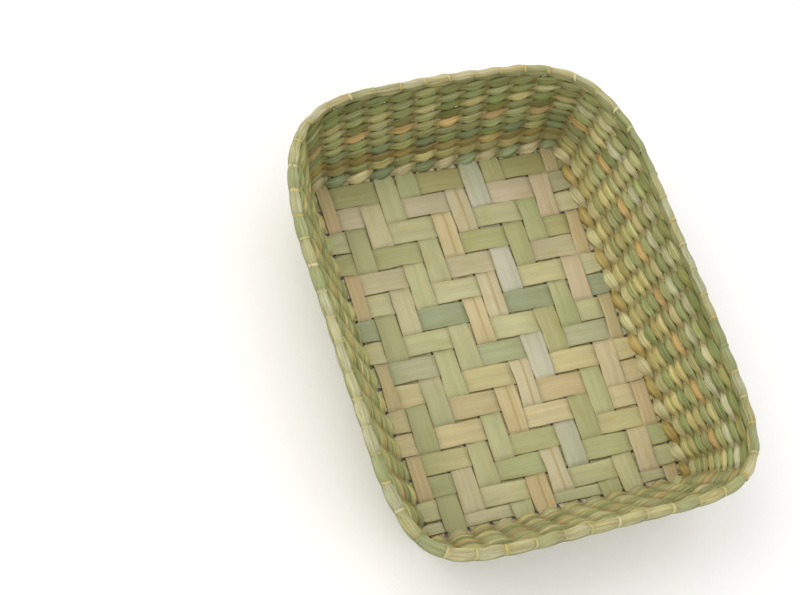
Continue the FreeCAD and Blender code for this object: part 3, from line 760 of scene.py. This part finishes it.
# How much each of these varies from stake to stake.
RIM_VARIATION = {"bulge": 0.4, "wave": 0.5, "twist": 0.5, "side": 0.3, "side_depth": 0.25}
RIM_LIGHT, LASHING_PAINTED_SHADE = (0.9, 1.06), 0.16   # from leaf to leaf, and painted shade at a lashing, where the bundle is drawn in
RIM_HEIGHT = 0.35           # of the bundle's middle above the CAD model's
RIM_LEAF_DYES, LEAF_SHARE, SIDE_SHARE = "CSGAWNCS", 0.42, 0.58    # of these dyes and of its side's
SIDE_LEAVES = ((1, 2.0, "NAAG"), (-1, 2.2, "AGSN"))     # outside or inside, how far down, and dyes
SIDE_THICKNESS = 0.75
SIDE_TUCK, SIDE_DEPTH = (2.0, 0.5), (1.6, 0.4)          # at a lashing, and how much more between two
SIDE_FOLD, FOLD_PLACE, FOLD_WIDTH = 0.25, 0.15, 0.25
SIDE_LEAN = 0.25
# Painted shade on the side leaves at a lashing, and how much they mottle.
SIDE_PAINTED_SHADE, SIDE_MOTTLE = 0.24, 0.08

LASHING_STEPS, LASHING_AROUND = 36, 10      # rows round the bundle, and points round the leaf
LASHING_RADIUS = 2.74       # of the middle of the leaf, on a bundle of full thickness
LASHING_HALF_WIDTH = 0.7, 1.35
LASHING_SKEW = 0.3, 1.4                     # of the top of the loop along the rim
LASHING_THICKNESS, LASHING_CUP = 0.26, 0.18
LASHING_DYES = "YYSSCGS"


def rim_frame(u):
    """Middle of the rim bundle, the directions along it and outwards, and how thick it is there."""
    along = heading(lambda v: smooth(TOPS, v), u)
    out = unit(np.cross(along, UP))
    thick = smooth(by_stake(RIM_THICKNESS), u)
    return smooth(TOPS, u) + out * ((1 - thick) * RIM_OUTWARDS)[:, None], along, out, thick


def make_rim():
    """The bundle, drawn in at every lashing, and the long leaves laid against it outside and inside."""
    rng = np.random.default_rng(SEEDS["rim"])
    u = np.arange(STAKES * RIM_STEPS) / RIM_STEPS
    stake = np.floor(u).astype(int)
    point, _, out, thickness = rim_frame(u)
    s = travelled(point)[:, None]
    theta = circle(RIM_AROUND)
    link = np.abs(np.sin(math.pi * u)) ** 0.8       # 0 at a lashing, 1 between two
    bulge = smooth(by_stake(RIM_BULGE), u)
    size = thickness * (RIM_RADIUS + bulge * link * (1 + stake_noise(rng, RIM_VARIATION["bulge"], u - 0.5)))
    wave = RIM_WAVE * np.sin(2 * math.pi * u) * (1 + stake_noise(rng, RIM_VARIATION["wave"], u))
    turn = u[:, None] * RIM_TWIST + stake_noise(rng, RIM_VARIATION["twist"], u)[:, None]
    lobes = 1 + RIM_LOBES[0] * np.cos(4 * theta + turn) + RIM_LOBES[1] * np.cos(7 * theta - 2 * turn + 1)
    from_groove = np.mod(theta + turn * 0.6, 2 * math.pi) - GROOVE_ANGLE
    lobes = lobes - RIM_GROOVE * np.exp(-(from_groove / GROOVE_WIDTH) ** 2)
    wide = np.cos(theta) * size[:, None] * lobes * RIM_FLATNESS + wave[:, None]
    tall = np.sin(theta) * size[:, None] * lobes + RIM_HEIGHT
    points = point[:, None] + out[:, None] * wide[..., None] + UP * tall[..., None]
    dyes = np.array([DYES[dye] for dye in rng.choice(list(RIM_LEAF_DYES), STAKES)])
    dyes = dyes * rng.uniform(*RIM_LIGHT, (STAKES, 1))
    dyes = dyes * LEAF_SHARE + by_stake(RIM_DYES) * SIDE_SHARE
    colours = dyes[stake][:, None] * (0.94 + 0.06 * np.cos(2 * theta + turn))[..., None]
    # Painted shade where the bundle is drawn in at a lashing.
    colours = colours * (1 - LASHING_PAINTED_SHADE + LASHING_PAINTED_SHADE * link)[:, None, None]
    leaves = Leaves()
    leaves.add(points, colours, leaf_grain(s, wide, tall), closed=True)

    theta = circle(SIDE_AROUND)
    for side, drop, dye_choice in SIDE_LEAVES:
        variation = RIM_VARIATION["side"]
        tuck = thickness * (SIDE_TUCK[0] + SIDE_TUCK[1] * link * (1 + stake_noise(rng, variation, u)))
        centre = point + out * (side * tuck)[:, None] - UP * (drop + stake_noise(rng, variation, u))[:, None]
        depth = SIDE_DEPTH[0] + SIDE_DEPTH[1] * link + stake_noise(rng, RIM_VARIATION["side_depth"], u)
        fold = 1 - SIDE_FOLD * np.exp(-((np.cos(theta) - FOLD_PLACE) / FOLD_WIDTH) ** 2)
        wide = np.cos(theta) * depth[:, None]
        thick = np.sin(theta) * fold * SIDE_THICKNESS
        lean = unit(UP - out * side * SIDE_LEAN)
        points = centre[:, None] + lean[:, None] * wide[..., None] + out[:, None] * thick[..., None]
        dyes = np.array([DYES[dye] for dye in rng.choice(list(dye_choice), STAKES)]) * 0.5 + WALL_MEAN * 0.5
        # Painted shade at each lashing, with a random mottle.
        shade = 1 - SIDE_PAINTED_SHADE + SIDE_PAINTED_SHADE * link + SIDE_MOTTLE * stake_noise(rng, 1, u)
        colours = dyes[stake][:, None] * shade[:, None, None]
        leaves.add(points, colours, leaf_grain(s + 50 * side, wide, thick), closed=True)
    leaves.piece("rim_bundle", "rim_leaf", RIM_LEAF)


def make_lashing():
    """A flat leaf wound round the rim at every stake."""
    rng = np.random.default_rng(SEEDS["lashing"])
    leaves = Leaves()
    angle, phi = circle(LASHING_STEPS), circle(LASHING_AROUND)
    for k in range(STAKES):
        point, along, out, thickness = (v[0] for v in rim_frame(np.array([k + rng.uniform(-0.05, 0.05)])))
        half_width = rng.uniform(*LASHING_HALF_WIDTH)
        skew = rng.uniform(*LASHING_SKEW)
        uneven = 1 + 0.03 * np.cos(3 * angle + any_phase(rng)) + 0.02 * np.cos(5 * angle + k)
        radius = thickness * LASHING_RADIUS * uneven
        aside, up = np.cos(angle) * radius * 1.08, np.sin(angle) * radius + 0.05
        middle = point + out * aside[:, None] + UP * up[:, None] + along * (np.sin(angle) * skew)[:, None]
        outward = unit(out * np.cos(angle)[:, None] + UP * np.sin(angle)[:, None])
        bow = 1 - 0.12 * np.cos(angle * 2 + any_phase(rng))
        wide = np.cos(phi) * half_width * bow[:, None]
        thick = signed_power(np.sin(phi), 0.7) * LASHING_THICKNESS - LASHING_CUP * np.cos(phi) ** 2
        points = middle[:, None] + along * wide[..., None] + outward[:, None] * thick[..., None]
        dye = DYES[rng.choice(list(LASHING_DYES))] * rng.uniform(0.88, 1.06)
        colours = dye * (1 - 0.12 * np.abs(np.cos(phi)) ** 4)[None, :, None]
        s = angle * 3.4 + 31.0 * k      # each loop has its own place in the leaf
        leaves.add(points, colours, leaf_grain(s[:, None], wide, thick), closed=True)
    leaves.piece("rim_lashing", "lashing_leaf", LASHING_LEAF)


for index in range(LONG_STRIPS):
    make_strip("long", index)
for index in range(CROSS_STRIPS):
    make_strip("cross", index)
for strand in (0, 1):
    make_foot(strand)
for course in range(COURSES):
    for strand in (0, 1):
        make_course(course, strand)
make_rim()
make_lashing()


# --- table top, light and camera, in metres -----------------------------------------------------------

TABLE_SIZE, TABLE_PAINT, TABLE_ROUGHNESS = 8, (0.95, 0.95, 0.95, 1), 0.7

# Place, size across, watts and colour of each lamp.
LAMPS = {
    "key": ((-0.75, -0.85, 1.30), 1.9, 12.0, (1.0, 0.985, 0.965)),
    "fill": ((1.2, 0.5, 1.1), 1.4, 3.0, (1.0, 1.0, 1.0)),
}
LAMP_TARGET = (0, 0, 0.03)
SKY_COLOUR, SKY_STRENGTH = (1.0, 0.993, 0.985, 1), 0.96

# The camera that was fitted to the photograph's floor weave and rim.
LENS, SENSOR_WIDTH, CLIP_START = 85.47, 36, 0.01
CAMERA_PLACE = (0.3859, -0.4456, 1.0494)
CAMERA_RIGHT = (0.30606, 0.92421, 0.22839)
CAMERA_FORWARD = (-0.35502, 0.33340, -0.87339)


def make_table():
    bpy.ops.mesh.primitive_plane_add(size=TABLE_SIZE)
    table = bpy.context.object
    table.name = "table_top"
    paint = bpy.data.materials.new("table_paint")
    paint.use_nodes = True
    shader = paint.node_tree.nodes["Principled BSDF"]
    shader.inputs["Base Color"].default_value = TABLE_PAINT
    shader.inputs["Roughness"].default_value = TABLE_ROUGHNESS
    table.data.materials.append(paint)


def make_lamp(name, place, size, watts, colour):
    data = bpy.data.lights.new(name, "AREA")
    data.shape = "DISK"
    data.size = size
    data.energy = watts
    data.color = colour
    lamp = bpy.data.objects.new(name, data)
    lamp.location = place
    lamp.rotation_euler = (Vector(LAMP_TARGET) - Vector(place)).to_track_quat("-Z", "Y").to_euler()
    bpy.context.scene.collection.objects.link(lamp)


def make_sky():
    world = bpy.data.worlds.new("studio")
    world.use_nodes = True
    background = world.node_tree.nodes["Background"]
    background.inputs["Color"].default_value = SKY_COLOUR
    background.inputs["Strength"].default_value = SKY_STRENGTH
    bpy.context.scene.world = world


def make_camera():
    data = bpy.data.cameras.new("camera")
    data.lens = LENS
    data.sensor_width = SENSOR_WIDTH
    data.clip_start = CLIP_START
    camera = bpy.data.objects.new("camera", data)
    right, forward = Vector(CAMERA_RIGHT).normalized(), Vector(CAMERA_FORWARD).normalized()
    right = (right - forward * right.dot(forward)).normalized()
    turn = Matrix((right, right.cross(forward), -forward)).transposed().to_4x4()
    camera.matrix_world = Matrix.Translation(CAMERA_PLACE) @ turn
    bpy.context.scene.collection.objects.link(camera)
    bpy.context.scene.camera = camera


make_table()
for name, lamp in LAMPS.items():
    make_lamp(name, *lamp)
make_sky()
make_camera()
bpy.context.scene.view_settings.view_transform = "Standard"
